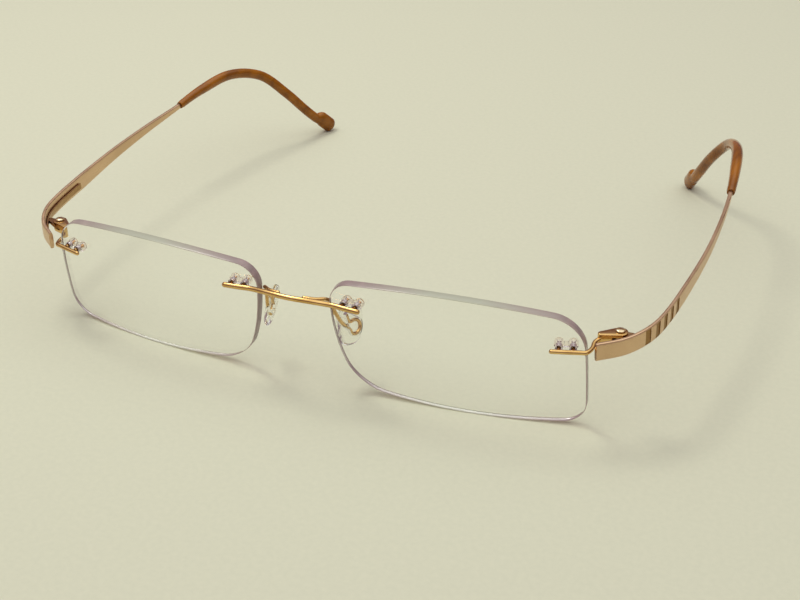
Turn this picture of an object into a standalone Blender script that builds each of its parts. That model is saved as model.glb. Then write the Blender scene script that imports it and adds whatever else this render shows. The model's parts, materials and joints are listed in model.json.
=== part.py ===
"""Rimless eyeglasses, standing open on the bottom edges of the lenses and on the two temple tips.

+X is the wearer's left, the lenses face -Y, the temples run back along +Y and +Z is up.
Every piece of the +X side is modelled once, and the -X side is its mirror image.
"""

import math

import bmesh
import bpy
from mathutils import Matrix, Vector
from mathutils.geometry import interpolate_bezier

# All sizes are in millimetres and are turned into metres when a mesh is made.
METRES = 0.001

# Lenses. A lens is drawn flat as (outward, up) from its centre, then curved, turned and leaned.
LENS_CENTRE_X = 34.0
LENS_THICKNESS = 1.8
LENS_CURVE_RADIUS = 130.0
LENS_WRAP = math.radians(5.5)
LENS_LEAN = math.radians(6.8)
LENS_EDGE_BEVEL = 0.18
# One corner each: outward, up, length of the rounding, bow of the edge that follows it in degrees.
LENS_CORNERS = (
    (24.7, 11.2, 6.0, 9.0),
    (-26.1, 12.3, 4.5, 9.5),
    (-21.2, -11.3, 6.0, 4.5),
    (25.4, -12.5, 4.5, 2.0),
)
CORNER_STEPS = 5
EDGE_STEP = 5.5
LENS_RINGS = (1.0, 0.72, 0.45, 0.2)

# The bars that carry the lenses lie in front of them, and pins behind the bars go through the lenses.
BAR_RADIUS = 0.55
BAR_STANDOFF = 1.0
BRIDGE_OUTWARD = (-25.2, -22.3, -19.4)
BRIDGE_UP = 8.15
BRIDGE_MIDDLE = (0.0, -2.85, 21.25)
BRIDGE_SHOULDER = (4.7, -2.4, 21.15)
CLIP_OUTWARD = (18.9, 21.5, 24.2)
CLIP_UP = 5.5
CLIP_WIRE_RADIUS = 0.46
CLIP_ROUTE = ((59.05, 3.5, 18.7), (59.6, 5.3, 18.75), (59.55, 7.3, 19.0))
NASAL_SITE = (-21.6, BRIDGE_UP)
TEMPORAL_SITE = (21.4, CLIP_UP)
PIN_SPACING = 2.7
PIN_RADIUS = 0.38
PIN_BORE_RADIUS = 0.46
BUSHING_LEG_RADIUS = 0.64
LENS_HOLE_RADIUS = 0.72
BUSHING_CUP_RADIUS = 1.0
BUSHING_CUP_LENGTH = 1.2
BUSHING_WEB_SIZE = (PIN_SPACING, 0.6, 1.1)
BUSHING_LEG_START = 0.15
JOINT_GAP = 0.06

# Nose pads on looped wire arms.
ARM_RADIUS = 0.38
ARM_ROUTE = (
    (2.8, -1.5, 21.15),
    (5.0, -1.05, 21.05),
    (6.8, 0.35, 20.7),
    (7.4, 1.65, 19.4),
    (7.9, 2.8, 17.0),
    (8.6, 4.1, 14.2),
)
LOOP_CENTRE = Vector((9.9, 7.3, 11.8))
LOOP_RADIUS = 1.45
LOOP_SWEEP = 275.0
LOOP_STEPS = 20
# The wire's end turns up from the top of the loop: (back, up) from the loop's centre.
LOOP_END = ((-0.75, 1.42), (-1.2, 1.65), (-1.4, 2.2), (-1.5, 3.0))
LOOP_UP = Vector((-0.235, 0.085, 0.968)).normalized()
LOOP_BACK = Vector((0.339, 0.941, 0.0)).normalized()
PAD_TILT = math.radians(15.0)
PAD_HALF_LENGTH = 4.4
PAD_HALF_WIDTH = 3.4
PAD_HALF_THICKNESS = 1.15
PAD_RISE = 0.75
PAD_FORWARD = 1.1
PAD_TOWARDS_NOSE = 0.35
PAD_FULLNESS = 2.4
PAD_POCKET_RADIUS = 1.95
PAD_POCKET_FLOOR = 0.44
PAD_POCKET_TOP = 3.0
PAD_TAIL_PLACE = (3.1, -1.5)
PAD_TAIL_RADIUS = 0.6

# Hinges. The axis is vertical.
HINGE_AXIS = (63.4, 10.9)
HINGE_HEIGHT = 19.2
FORK_HALF_HEIGHT = 1.1
SLOT_HALF_HEIGHT = 0.45
TONGUE_HALF_HEIGHT = 0.38
KNUCKLE_RADIUS = 1.5
FORK_ROOT = (60.3, 9.0)
FORK_ROOT_RADIUS = 0.75
SLOT_RADIUS = 2.2
SCREW_RADIUS = 0.5
SCREW_BORE_RADIUS = 0.58
SCREW_HEAD_RADIUS = 0.95
SCREW_HEAD_HEIGHT = 0.45
SCREW_SLOT_WIDTH = 0.3
SCREW_SLOT_DEPTH = 0.25

# Temples. The route is the middle line of the strip and of the tip, from the front end to the tip's end.
TEMPLE_ROUTE = (
    (60.7, 3.7, 19.1),
    (65.3, 7.6, 19.3),
    (68.4, 12.8, 19.6),
    (70.0, 19.5, 19.8),
    (71.1, 31.0, 20.2),
    (71.9, 46.0, 21.0),
    (71.8, 60.0, 21.8),
    (71.1, 72.5, 22.6),
    (69.9, 84.0, 23.9),
    (67.9, 96.0, 24.2),
    (64.2, 106.0, 21.0),
    (59.6, 111.6, 14.6),
    (55.9, 116.9, 7.7),
    (52.2, 124.0, 0.17),
)
ROUTE_STEP = 3.0
STRIP_SQUARENESS = 4.5
STRIP_HALF_THICKNESS = 0.45
STRIP_HALF_TALL = 1.85
STRIP_TAPER_START = 30.0
STRIP_END = 74.0
STRIP_END_HALF_TALL = 0.6
CORE_RADIUS = 0.38
CORE_BORE_RADIUS = 0.55
CORE_STOP_SHORT = 8.5
CORE_STEP = 0.3
TIP_START = 74.4
TIP_START_RADIUS = 1.0
TIP_RADIUS = 1.3
TIP_SWELL = 15.0
PADDLE_LENGTH = 7.6
PADDLE_EASE = 2.6
PADDLE_HALF_WIDE = 1.5
PADDLE_HALF_TALL = 2.05
PADDLE_CAP = 1.7
STRIPE_COUNT = 5
STRIPE_START = 11.5
STRIPE_SPACING = 3.25
STRIPE_SIZE = (1.6, 0.5, 3.2)
STRIPE_DEPTH = 0.15
TAIL_START = 7.0
TAIL_END = 28.0
TAIL_HALF_THICKNESS = 0.22
TAIL_HALF_TALL = 0.7
TAIL_DROP = 0.2


def clear_scene():
    for old in list(bpy.data.objects):
        bpy.data.objects.remove(old, do_unlink=True)


def make_material(name, colour, roughness, metallic=0.0, transmission=0.0):
    material = bpy.data.materials.new(name)
    material.use_nodes = True
    shader = material.node_tree.nodes["Principled BSDF"]
    shader.inputs["Base Color"].default_value = (*colour, 1.0)
    shader.inputs["Roughness"].default_value = roughness
    shader.inputs["Metallic"].default_value = metallic
    shader.inputs["Transmission Weight"].default_value = transmission
    return material


def make_object(name, bm, material, sign=1, origin=(0.0, 0.0, 0.0)):
    """Turns a bmesh in millimetres into an object, mirrored in X when sign is -1."""
    if sign < 0:
        bmesh.ops.scale(bm, vec=(-1.0, 1.0, 1.0), verts=bm.verts)
    bmesh.ops.recalc_face_normals(bm, faces=bm.faces)
    pivot = Vector((origin[0] * sign, origin[1], origin[2]))
    bmesh.ops.translate(bm, vec=-pivot, verts=bm.verts)
    bmesh.ops.scale(bm, vec=(METRES, METRES, METRES), verts=bm.verts)
    mesh = bpy.data.meshes.new(name)
    bm.to_mesh(mesh)
    bm.free()
    mesh.shade_smooth()
    mesh.set_sharp_from_angle(angle=math.radians(35.0))
    obj = bpy.data.objects.new(name, mesh)
    obj.location = pivot * METRES
    bpy.context.collection.objects.link(obj)
    if material:
        mesh.materials.append(material)
    return obj


def combine(target, operation, bm, sign=1):
    """Joins or cuts a piece with a second shape, kept in the scene as a wire cutter."""
    cutter = make_object(f"{target.name}_{operation.lower()}", bm, None, sign)
    cutter.display_type = "WIRE"
    cutter.hide_render = True
    modifier = target.modifiers.new(operation.title(), "BOOLEAN")
    modifier.operation = operation
    modifier.solver = "EXACT"
    modifier.object = cutter


def smooth_path(points, spacing):
    """Even points along a Catmull-Rom curve through the given ones."""
    knots = [Vector(p) for p in points]
    knots = [2 * knots[0] - knots[1]] + knots + [2 * knots[-1] - knots[-2]]
    fine = []
    for a, b, c, d in zip(knots, knots[1:], knots[2:], knots[3:]):
        for step in range(24):
            t = step / 24
            curve = 2 * b + (c - a) * t
            curve += (2 * a - 5 * b + 4 * c - d) * t**2 + (3 * b - a - 3 * c + d) * t**3
            fine.append(curve / 2)
    fine.append(knots[-2])
    lengths = running_lengths(fine)
    count = max(2, round(lengths[-1] / spacing))
    return [point_at(fine, lengths, lengths[-1] * k / count) for k in range(count + 1)]


def running_lengths(path):
    lengths = [0.0]
    for a, b in zip(path, path[1:]):
        lengths.append(lengths[-1] + (b - a).length)
    return lengths


def point_at(path, lengths, distance):
    for k in range(1, len(path)):
        if lengths[k] >= distance or k == len(path) - 1:
            share = (distance - lengths[k - 1]) / (lengths[k] - lengths[k - 1])
            return path[k - 1].lerp(path[k], share)


def stretch(path, start, end):
    """The part of a path between two distances from its front end."""
    lengths = running_lengths(path)
    inner = [p for p, s in zip(path, lengths) if start + 0.2 < s < end - 0.2]
    return [point_at(path, lengths, start)] + inner + [point_at(path, lengths, end)]


def frames_along(path, upright):
    """A (point, side, up) triple at each point. Upright frames keep their side level."""
    frames = []
    side = None
    for k, point in enumerate(path):
        tangent = (path[min(k + 1, len(path) - 1)] - path[max(k - 1, 0)]).normalized()
        if upright or side is None:
            level = tangent.cross(Vector((0.0, 0.0, 1.0)))
            side = level.normalized() if level.length > 0.01 else Vector((1.0, 0.0, 0.0))
        else:
            side = (side - tangent * side.dot(tangent)).normalized()
        frames.append((point, side, side.cross(tangent)))
    return frames


def sweep(path, half_sizes, sides=12, squareness=2.0, upright=False, domed=False):
    """A solid around a path. half_sizes gives (half width, half height) at each point."""
    rings = [(*frame, *size) for frame, size in zip(frames_along(path, upright), half_sizes)]
    if domed:
        rings = dome(rings[0], path[0] - path[1])[::-1] + rings + dome(rings[-1], path[-1] - path[-2])
    bm = bmesh.new()
    loops = []
    for point, side, up, width, height in rings:
        loop = []
        for k in range(sides):
            angle = 2 * math.pi * (k + 0.5) / sides
            across = math.copysign(abs(math.cos(angle)) ** (2 / squareness), math.cos(angle))
            along = math.copysign(abs(math.sin(angle)) ** (2 / squareness), math.sin(angle))
            loop.append(bm.verts.new(point + side * (across * width) + up * (along * height)))
        loops.append(loop)
    for first, second in zip(loops, loops[1:]):
        for k in range(sides):
            n = (k + 1) % sides
            bm.faces.new((first[k], first[n], second[n], second[k]))
    bm.faces.new(loops[0])
    bm.faces.new(loops[-1])
    return bm


def dome(ring, direction):
    """Extra rings that round off an end."""
    point, side, up, width, height = ring
    ahead = direction.normalized() * min(width, height)
    turns = (math.radians(35.0), math.radians(65.0))
    return [
        (point + ahead * math.sin(a), side, up, width * math.cos(a), height * math.cos(a)) for a in turns
    ]


def prism(outline, low, high):
    """An upright solid with a flat top and bottom."""
    bm = bmesh.new()
    bottom = [bm.verts.new((x, y, low)) for x, y in outline]
    top = [bm.verts.new((x, y, high)) for x, y in outline]
    bm.faces.new(bottom)
    bm.faces.new(top)
    for k in range(len(outline)):
        n = (k + 1) % len(outline)
        bm.faces.new((bottom[k], bottom[n], top[n], top[k]))
    return bm


def circle(centre, radius, steps=20):
    turns = [2 * math.pi * k / steps for k in range(steps)]
    return [(centre[0] + radius * math.cos(a), centre[1] + radius * math.sin(a)) for a in turns]


def teardrop(big, big_radius, small, small_radius, steps=8):
    """The outline around two circles."""
    heading = math.atan2(small[1] - big[1], small[0] - big[0])
    distance = math.hypot(small[0] - big[0], small[1] - big[1])
    open_angle = math.acos((big_radius - small_radius) / distance)
    points = []
    for centre, radius, start, turn in (
        (big, big_radius, heading + open_angle, 2 * math.pi - 2 * open_angle),
        (small, small_radius, heading - open_angle, 2 * open_angle),
    ):
        for k in range(steps + 1):
            angle = start + turn * k / steps
            points.append((centre[0] + radius * math.cos(angle), centre[1] + radius * math.sin(angle)))
    return points


def lens_outline():
    """The flat outline of a lens, as (outward, up) points that run round it."""
    corners = []
    for k, (x, y, rounding, bow) in enumerate(LENS_CORNERS):
        here = Vector((x, y))
        before = Vector(LENS_CORNERS[k - 1][:2])
        after = Vector(LENS_CORNERS[(k + 1) % 4][:2])
        arriving = (here - before).normalized()
        arriving.rotate(Matrix.Rotation(math.radians(LENS_CORNERS[k - 1][3]), 2))
        leaving = (after - here).normalized()
        leaving.rotate(Matrix.Rotation(-math.radians(bow), 2))
        corners.append((here - rounding * arriving, arriving, here + rounding * leaving, leaving, rounding))
    points = []
    for k, (start, arriving, end, leaving, rounding) in enumerate(corners):
        reach = 0.55 * rounding
        arc = (start, start + reach * arriving, end - reach * leaving, end)
        points += bezier_points(arc, CORNER_STEPS)
        following = corners[(k + 1) % 4]
        third = (following[0] - end).length / 3
        edge = (end, end + third * leaving, following[0] - third * following[1], following[0])
        points += bezier_points(edge, max(3, round(3 * third / EDGE_STEP)))
    return points


def bezier_points(knots, steps):
    """Points along a flat Bezier curve, without its last one."""
    curve = interpolate_bezier(*[k.to_3d() for k in knots], steps + 1)
    return [Vector((p.x, p.y)) for p in curve[:-1]]


def lens_turn():
    """From a lens's own axes (outward, back, up) to the glasses, before it is lifted off the table."""
    turn = Matrix.Rotation(LENS_LEAN, 4, "X")
    return turn @ Matrix.Translation((LENS_CENTRE_X, 0.0, 0.0)) @ Matrix.Rotation(LENS_WRAP, 4, "Z")


def curved(outward, up, depth):
    """A point on a lens's curved front, or depth behind it."""
    return Vector((outward, depth + (outward**2 + up**2) / (2 * LENS_CURVE_RADIUS), up))


def lens_matrix():
    """The turn of a lens, lifted until its lowest edge is on the table."""
    turn = lens_turn()
    depths = (0.0, LENS_THICKNESS)
    lowest = min((turn @ curved(p.x, p.y, d)).z for p in lens_outline() for d in depths)
    return Matrix.Translation((0.0, 0.0, -lowest)) @ turn


def on_lens(outward, up, depth):
    return lens_matrix() @ curved(outward, up, depth)


def site_matrix(site):
    """Axes on a lens's front at a pair of pins: along the pair, straight back through the lens, up."""
    here = on_lens(*site, 0.0)
    along = (on_lens(site[0] + 0.5, site[1], 0.0) - here).normalized()
    up = (on_lens(site[0], site[1] + 0.5, 0.0) - here).normalized()
    back = up.cross(along).normalized()
    axes = Matrix((along, back, along.cross(back))).transposed().to_4x4()
    return Matrix.Translation(here) @ axes


def rod(site, offset, radius, start, end, sides=12):
    """A round rod that runs straight back through a lens, from one depth to another."""
    bm = bmesh.new()
    bmesh.ops.create_cone(
        bm, cap_ends=True, segments=sides, radius1=radius, radius2=radius, depth=end - start
    )
    bmesh.ops.rotate(bm, matrix=Matrix.Rotation(math.pi / 2, 3, "X"), verts=bm.verts)
    bmesh.ops.translate(bm, vec=(offset, (start + end) / 2, 0.0), verts=bm.verts)
    bmesh.ops.transform(bm, matrix=site_matrix(site), verts=bm.verts)
    return bm


def make_lens(name, sign, material):
    outline = lens_outline()
    matrix = lens_matrix()
    bm = bmesh.new()
    faces = []
    for depth in (0.0, LENS_THICKNESS):
        loops = []
        for share in LENS_RINGS:
            loop = [bm.verts.new(matrix @ curved(p.x * share, p.y * share, depth)) for p in outline]
            loops.append(loop)
        middle = bm.verts.new(matrix @ curved(0.0, 0.0, depth))
        for first, second in zip(loops, loops[1:]):
            for k in range(len(outline)):
                n = (k + 1) % len(outline)
                bm.faces.new((first[k], first[n], second[n], second[k]))
        for k in range(len(outline)):
            bm.faces.new((loops[-1][k], loops[-1][(k + 1) % len(outline)], middle))
        faces.append(loops[0])
    for k in range(len(outline)):
        n = (k + 1) % len(outline)
        bm.faces.new((faces[0][k], faces[0][n], faces[1][n], faces[1][k]))
    lens = make_object(name, bm, material, sign)
    bevel = lens.modifiers.new("Safety bevel", "BEVEL")
    bevel.width = LENS_EDGE_BEVEL * METRES
    bevel.segments = 1
    bevel.limit_method = "ANGLE"
    bevel.angle_limit = math.radians(50.0)
    for site in (NASAL_SITE, TEMPORAL_SITE):
        for offset in (-PIN_SPACING / 2, PIN_SPACING / 2):
            hole = rod(site, offset, LENS_HOLE_RADIUS, -1.0, LENS_THICKNESS + 1.0)
            combine(lens, "DIFFERENCE", hole, sign)


def make_bridge(material):
    half = [Vector(BRIDGE_MIDDLE), Vector(BRIDGE_SHOULDER)]
    for outward in BRIDGE_OUTWARD:
        half.append(on_lens(outward, BRIDGE_UP, -BAR_STANDOFF))
    other = [Vector((-p.x, p.y, p.z)) for p in half[:0:-1]]
    path = smooth_path(other + half, 1.4)
    sizes = [(BAR_RADIUS, BAR_RADIUS)] * len(path)
    make_object("bridge", sweep(path, sizes, domed=True), material)


def clip_path():
    """Along the outer side of a lens, around its edge and back to the hinge."""
    points = [on_lens(outward, CLIP_UP, -BAR_STANDOFF) for outward in CLIP_OUTWARD]
    points += [Vector(p) for p in CLIP_ROUTE]
    points.append(Vector((*FORK_ROOT, HINGE_HEIGHT)))
    return smooth_path(points, 0.8)


def make_endpiece(name, sign, material):
    path = clip_path()
    sizes = [(CLIP_WIRE_RADIUS, CLIP_WIRE_RADIUS)] * len(path)
    endpiece = make_object(name, sweep(path, sizes, sides=10, domed=True), material, sign)
    low, high = HINGE_HEIGHT - FORK_HALF_HEIGHT, HINGE_HEIGHT + FORK_HALF_HEIGHT
    leaf = teardrop(HINGE_AXIS, KNUCKLE_RADIUS, FORK_ROOT, FORK_ROOT_RADIUS)
    combine(endpiece, "UNION", prism(leaf, low, high), sign)
    slot = prism(
        circle(HINGE_AXIS, SLOT_RADIUS), HINGE_HEIGHT - SLOT_HALF_HEIGHT, HINGE_HEIGHT + SLOT_HALF_HEIGHT
    )
    combine(endpiece, "DIFFERENCE", slot, sign)
    combine(endpiece, "DIFFERENCE", prism(circle(HINGE_AXIS, SCREW_BORE_RADIUS), low - 1, high + 1), sign)


def make_pins_and_bushing(side, sign, place, site, bar_radius, gold, clear):
    cup_start = LENS_THICKNESS + JOINT_GAP
    cup_end = cup_start + BUSHING_CUP_LENGTH
    bushing = make_object(
        f"bushing_{side}_{place}",
        rod(site, -PIN_SPACING / 2, BUSHING_CUP_RADIUS, cup_start, cup_end),
        clear,
        sign,
    )
    web = bmesh.new()
    bmesh.ops.create_cube(web, size=1.0)
    bmesh.ops.scale(web, vec=BUSHING_WEB_SIZE, verts=web.verts)
    bmesh.ops.translate(web, vec=(0.0, cup_start + 0.1 + BUSHING_WEB_SIZE[1] / 2, 0.0), verts=web.verts)
    bmesh.ops.transform(web, matrix=site_matrix(site), verts=web.verts)
    combine(bushing, "UNION", web, sign)
    second = rod(site, PIN_SPACING / 2, BUSHING_CUP_RADIUS, cup_start, cup_end)
    combine(bushing, "UNION", second, sign)
    for order, offset in (("inner", -PIN_SPACING / 2), ("outer", PIN_SPACING / 2)):
        leg = rod(site, offset, BUSHING_LEG_RADIUS, BUSHING_LEG_START, cup_start + 0.3)
        combine(bushing, "UNION", leg, sign)
        combine(bushing, "DIFFERENCE", rod(site, offset, PIN_BORE_RADIUS, -1.0, cup_end + 1.0), sign)
        pin = rod(site, offset, PIN_RADIUS, bar_radius - BAR_STANDOFF + JOINT_GAP, cup_end - 0.2, sides=10)
        make_object(f"lens_pin_{side}_{place}_{order}", pin, gold, sign)


def in_loop(back, up):
    return LOOP_CENTRE + back * LOOP_BACK + up * LOOP_UP


def loop_path():
    """A flat loop that starts at its front, heading down, then the short end that turns up."""
    points = []
    for k in range(LOOP_STEPS + 1):
        angle = math.radians(LOOP_SWEEP * k / LOOP_STEPS - 180.0)
        points.append(in_loop(LOOP_RADIUS * math.cos(angle), LOOP_RADIUS * math.sin(angle)))
    return points + [in_loop(back, up) for back, up in LOOP_END]


def make_pad_arm(name, sign, material):
    loop = loop_path()
    straight = smooth_path(ARM_ROUTE + tuple(tuple(p) for p in loop[:2]), 1.4)
    path = straight[:-1] + loop[1:]
    sizes = [(ARM_RADIUS, ARM_RADIUS)] * len(path)
    make_object(name, sweep(path, sizes, sides=8, domed=True), material, sign)


def make_nose_pad(name, sign, material):
    """A soft pad in the plane of the loop, with a pocket for it that is open towards the lens."""
    outward = LOOP_BACK.cross(LOOP_UP)
    up = LOOP_UP * math.cos(PAD_TILT) + LOOP_BACK * math.sin(PAD_TILT)
    back = up.cross(outward)
    centre = LOOP_CENTRE + PAD_RISE * up - PAD_FORWARD * back - PAD_TOWARDS_NOSE * outward
    axes = Matrix((outward, back, up)).transposed().to_4x4()
    bm = bmesh.new()
    bmesh.ops.create_uvsphere(bm, u_segments=18, v_segments=12, radius=1.0)
    halves = (PAD_HALF_THICKNESS, PAD_HALF_WIDTH, PAD_HALF_LENGTH)
    for vert in bm.verts:
        fullness = 1.0 / sum(abs(c) ** PAD_FULLNESS for c in vert.co) ** (1 / PAD_FULLNESS)
        vert.co = Vector(c * fullness * half for c, half in zip(vert.co, halves))
    bmesh.ops.transform(bm, matrix=Matrix.Translation(centre) @ axes, verts=bm.verts)
    pad = make_object(name, bm, material, sign)
    outline = teardrop((0.0, 0.0), PAD_POCKET_RADIUS, PAD_TAIL_PLACE, PAD_TAIL_RADIUS)
    pocket = prism(outline, -PAD_POCKET_FLOOR, PAD_POCKET_TOP)
    flat = Matrix((LOOP_UP, LOOP_BACK, outward)).transposed().to_4x4()
    bmesh.ops.transform(pocket, matrix=Matrix.Translation(LOOP_CENTRE) @ flat, verts=pocket.verts)
    combine(pad, "DIFFERENCE", pocket, sign)
    entry = smooth_path(ARM_ROUTE[-3:] + (tuple(loop_path()[0]),), 1.5)
    sizes = [(PAD_POCKET_FLOOR + JOINT_GAP, PAD_POCKET_FLOOR + JOINT_GAP)] * len(entry)
    combine(pad, "DIFFERENCE", sweep(entry, sizes, sides=8), sign)


def make_screw(name, sign, material):
    bm = bmesh.new()
    top = HINGE_HEIGHT + FORK_HALF_HEIGHT + JOINT_GAP
    bottom = HINGE_HEIGHT - FORK_HALF_HEIGHT + 0.1
    profile = (
        (SCREW_RADIUS, bottom),
        (SCREW_RADIUS, top),
        (SCREW_HEAD_RADIUS, top),
        (SCREW_HEAD_RADIUS, top + 0.6 * SCREW_HEAD_HEIGHT),
        (0.8 * SCREW_HEAD_RADIUS, top + SCREW_HEAD_HEIGHT),
    )
    sides = 16
    loops = []
    for radius, z in profile:
        loops.append([bm.verts.new((x, y, z)) for x, y in circle(HINGE_AXIS, radius, sides)])
    for first, second in zip(loops, loops[1:]):
        for k in range(sides):
            n = (k + 1) % sides
            bm.faces.new((first[k], first[n], second[n], second[k]))
    bm.faces.new(loops[0])
    bm.faces.new(loops[-1])
    screw = make_object(name, bm, material, sign)
    slot = bmesh.new()
    bmesh.ops.create_cube(slot, size=1.0)
    slot_size = (3 * SCREW_HEAD_RADIUS, SCREW_SLOT_WIDTH, 2 * SCREW_SLOT_DEPTH)
    bmesh.ops.scale(slot, vec=slot_size, verts=slot.verts)
    bmesh.ops.translate(slot, vec=(*HINGE_AXIS, top + SCREW_HEAD_HEIGHT), verts=slot.verts)
    combine(screw, "DIFFERENCE", slot, sign)


def strip_half_tall(distance):
    share = (distance - STRIP_TAPER_START) / (STRIP_END - STRIP_TAPER_START)
    share = min(max(share, 0.0), 1.0)
    return STRIP_HALF_TALL + (STRIP_END_HALF_TALL - STRIP_HALF_TALL) * share


def make_temple(name, sign, material):
    """The strip, and the thinner core wire that runs on from it inside the tip."""
    route = smooth_path(TEMPLE_ROUTE, ROUTE_STEP)
    length = running_lengths(route)[-1]
    strip = stretch(route, 0.0, STRIP_END)
    core = stretch(route, STRIP_END + CORE_STEP, length - CORE_STOP_SHORT)
    sizes = [(STRIP_HALF_THICKNESS, strip_half_tall(s)) for s in running_lengths(strip)]
    sizes += [(CORE_RADIUS, CORE_RADIUS)] * len(core)
    bm = sweep(strip + core, sizes, squareness=STRIP_SQUARENESS, upright=True)
    temple = make_object(name, bm, material, sign, origin=(*HINGE_AXIS, HINGE_HEIGHT))
    outer = frames_along(strip, True)
    lengths = running_lengths(strip)
    for k in range(STRIPE_COUNT):
        distance = STRIPE_START + k * STRIPE_SPACING
        nearest = min(range(len(strip)), key=lambda i: abs(lengths[i] - distance))
        side, up = outer[nearest][1], outer[nearest][2]
        place = point_at(strip, lengths, distance)
        place += side * (STRIP_HALF_THICKNESS + STRIPE_SIZE[1] / 2 - STRIPE_DEPTH)
        axes = Matrix((up.cross(side), side, up)).transposed().to_4x4()
        groove = bmesh.new()
        bmesh.ops.create_cube(groove, size=1.0)
        bmesh.ops.scale(groove, vec=STRIPE_SIZE, verts=groove.verts)
        bmesh.ops.transform(groove, matrix=Matrix.Translation(place) @ axes, verts=groove.verts)
        combine(temple, "DIFFERENCE", groove, sign)


def make_temple_hinge(name, sign, material):
    """A tongue between the fork's ears, on a long tail fixed inside the strip."""
    route = stretch(smooth_path(TEMPLE_ROUTE, ROUTE_STEP), TAIL_START, TAIL_END)
    inset = STRIP_HALF_THICKNESS + TAIL_HALF_THICKNESS + JOINT_GAP
    tail = []
    for point, side, up in frames_along(route, True):
        tail.append(point - inset * side - TAIL_DROP * up)
    sizes = [(TAIL_HALF_THICKNESS, TAIL_HALF_TALL)] * len(tail)
    bm = sweep(tail, sizes, squareness=STRIP_SQUARENESS, upright=True)
    leaf = make_object(name, bm, material, sign, origin=(*HINGE_AXIS, HINGE_HEIGHT))
    low, high = HINGE_HEIGHT - TONGUE_HALF_HEIGHT, HINGE_HEIGHT + TONGUE_HALF_HEIGHT
    root = point_at(tail, running_lengths(tail), 3.6)
    tongue = teardrop(HINGE_AXIS, KNUCKLE_RADIUS, (root.x - 0.35, root.y), 0.5)
    combine(leaf, "UNION", prism(tongue, low, high), sign)
    combine(leaf, "DIFFERENCE", prism(circle(HINGE_AXIS, SCREW_BORE_RADIUS), low - 1, high + 1), sign)


def eased(share):
    share = min(max(share, 0.0), 1.0)
    return share * share * (3 - 2 * share)


def tip_section(distance, length):
    """Half width, half height and lift. Near its end the tip grows into a paddle, on the outer side only."""
    left = length - distance
    swell = eased((distance - TIP_START) / TIP_SWELL)
    round_size = TIP_START_RADIUS + (TIP_RADIUS - TIP_START_RADIUS) * swell
    growth = eased((PADDLE_LENGTH - left) / PADDLE_EASE)
    wide = round_size + (PADDLE_HALF_WIDE - round_size) * growth
    tall = round_size + (PADDLE_HALF_TALL - round_size) * growth
    lift = tall - round_size
    cap = math.sqrt(max(0.03, 1 - max(0.0, 1 - left / PADDLE_CAP) ** 2))
    return wide * cap, tall * cap, lift


def make_temple_tip(name, sign, material):
    route = smooth_path(TEMPLE_ROUTE, ROUTE_STEP)
    length = running_lengths(route)[-1]
    path = stretch(route, TIP_START, length - PADDLE_LENGTH)
    path += stretch(smooth_path(TEMPLE_ROUTE, 0.8), length - PADDLE_LENGTH + 0.8, length - 0.02)
    sections = [tip_section(TIP_START + s, length) for s in running_lengths(path)]
    frames = frames_along(path, True)
    path = [point + lift * up for (point, side, up), (wide, tall, lift) in zip(frames, sections)]
    bm = sweep(path, [(wide, tall) for wide, tall, lift in sections], upright=True)
    tip = make_object(name, bm, material, sign, origin=(*HINGE_AXIS, HINGE_HEIGHT))
    bore = stretch(route, STRIP_END - 1.5, length - CORE_STOP_SHORT + 0.4)
    bore_sizes = [(CORE_BORE_RADIUS, CORE_BORE_RADIUS)] * len(bore)
    combine(tip, "DIFFERENCE", sweep(bore, bore_sizes, sides=10, upright=True), sign)


def centre_on_table():
    """Moves everything so that the middle of the glasses' footprint is the origin."""
    depsgraph = bpy.context.evaluated_depsgraph_get()
    corners = []
    for obj in bpy.data.objects:
        if not obj.hide_render:
            solid = obj.evaluated_get(depsgraph)
            corners += [solid.matrix_world @ vert.co for vert in solid.data.vertices]
    low = Vector([min(c[axis] for c in corners) for axis in range(3)])
    high = Vector([max(c[axis] for c in corners) for axis in range(3)])
    shift = Vector((-(low.x + high.x) / 2, -(low.y + high.y) / 2, -low.z))
    for obj in bpy.data.objects:
        obj.location += shift


def main():
    clear_scene()
    gold = make_material("polished gold", (0.83, 0.62, 0.28), 0.16, metallic=1.0)
    satin = make_material("satin gold", (0.68, 0.5, 0.33), 0.38, metallic=1.0)
    steel = make_material("screw steel", (0.7, 0.62, 0.45), 0.25, metallic=1.0)
    clear = make_material("clear lens", (0.97, 0.98, 0.97), 0.02, transmission=1.0)
    soft = make_material("clear silicone", (0.92, 0.93, 0.9), 0.25, transmission=1.0)
    amber = make_material("amber acetate", (0.5, 0.24, 0.03), 0.12, transmission=0.6)
    make_bridge(gold)
    for side, sign in (("left", 1), ("right", -1)):
        make_lens(f"lens_{side}", sign, clear)
        make_endpiece(f"endpiece_{side}", sign, gold)
        make_pins_and_bushing(side, sign, "nasal", NASAL_SITE, BAR_RADIUS, gold, soft)
        make_pins_and_bushing(side, sign, "temporal", TEMPORAL_SITE, CLIP_WIRE_RADIUS, gold, soft)
        make_pad_arm(f"pad_arm_{side}", sign, gold)
        make_nose_pad(f"nose_pad_{side}", sign, soft)
        make_screw(f"hinge_screw_{side}", sign, steel)
        make_temple(f"temple_{side}", sign, satin)
        make_temple_hinge(f"temple_hinge_{side}", sign, gold)
        make_temple_tip(f"temple_tip_{side}", sign, amber)
    centre_on_table()


main()
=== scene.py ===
# %% [markdown]
# # Rimless eyeglasses
# A pair of rimless glasses is two bare lenses, a few bent wires and two long temples. Almost
# everything is thin, clear or shiny, so the work is in smooth curves and in what each surface
# does with light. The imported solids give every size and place. Here each one is remade with a
# finer surface in the same place, and rides on the same body, so the temples still fold.

import json
import math

import bmesh
import bpy
from mathutils import Matrix, Vector
from mathutils.geometry import interpolate_bezier


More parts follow.
